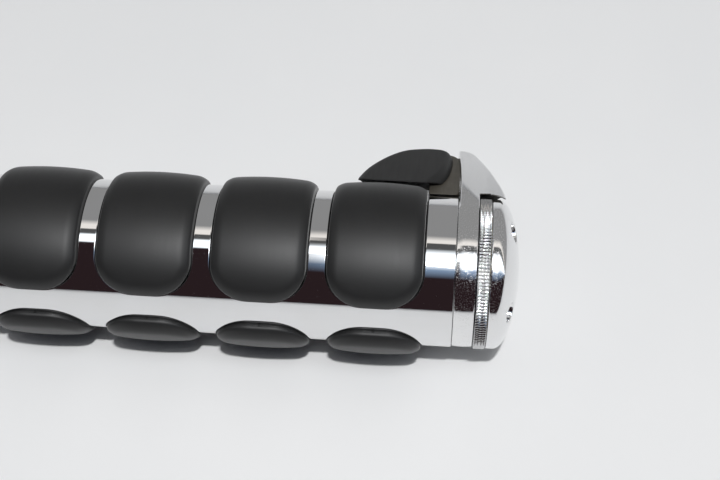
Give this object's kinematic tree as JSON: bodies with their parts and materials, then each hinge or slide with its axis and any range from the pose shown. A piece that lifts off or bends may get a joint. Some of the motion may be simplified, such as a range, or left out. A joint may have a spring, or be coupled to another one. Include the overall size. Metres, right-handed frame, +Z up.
{
  "type": "motorcycle handlebar grip",
  "caption": "Throttle-side handlebar grip: chrome sleeve with proud rubber pads, a swivelling palm rest and a screw-on domed end cap with a knurled rim.",
  "frame": {"origin": "under the middle of the part's box, on the surface that the lower pads rest on", "axes": "+X along the grip's axis towards the outboard end cap, +Y towards the palm rest, +Z up"},
  "size_m": [0.1404, 0.0524, 0.0388],
  "materials": {
    "chrome": "polished chrome plate",
    "pad_rubber": "satin moulded rubber",
    "rubber": "matte rubber",
    "tube_plastic": "moulded nylon",
    "hub_alloy": "turned",
    "insert_brass": "turned",
    "screw_steel": "zinc plated"
  },
  "bodies": {
    "grip": {"throttle_tube": "tube_plastic", "isolator_sleeve": "rubber", "grip_shell": "chrome", "grip_pad_upper_1": "pad_rubber", "grip_pad_upper_2": "pad_rubber", "grip_pad_upper_3": "pad_rubber", "grip_pad_upper_4": "pad_rubber", "grip_pad_lower_1": "pad_rubber", "grip_pad_lower_2": "pad_rubber", "grip_pad_lower_3": "pad_rubber", "grip_pad_lower_4": "pad_rubber", "end_hub": "hub_alloy", "hub_screw_1": "screw_steel", "hub_screw_2": "screw_steel", "hub_screw_3": "screw_steel"},
    "palm_rest": {"palm_rest_bracket": "chrome", "palm_rest_pad": "pad_rubber", "palm_rest_screw_1": "screw_steel", "palm_rest_screw_2": "screw_steel"},
    "thrust_washer": {"thrust_washer": "screw_steel"},
    "end_cap": {"knurled_ring": "chrome", "cap_dome": "chrome", "cap_insert": "insert_brass", "cap_o_ring": "rubber"}
  },
  "joints": [
    {"name": "palm_rest_swivel", "type": "hinge", "parent": "grip", "child": "palm_rest", "pos_m": [0.0582, -0.00676, 0.0194], "axis": [1, 0, 0], "continuous": true},
    {"name": "washer_travel", "type": "slide", "parent": "grip", "child": "thrust_washer", "axis": [1, 0, 0], "range_m": [0, 0.0045]},
    {"name": "cap_turn", "type": "hinge", "parent": "thrust_washer", "child": "end_cap", "pos_m": [0.0634, -0.00676, 0.0194], "axis": [1, 0, 0], "range_deg": [0, 1080]}
  ],
  "couplings": [
    {"joint": "cap_turn", "follows": "washer_travel", "rad_per_m": 4188.8}
  ]
}
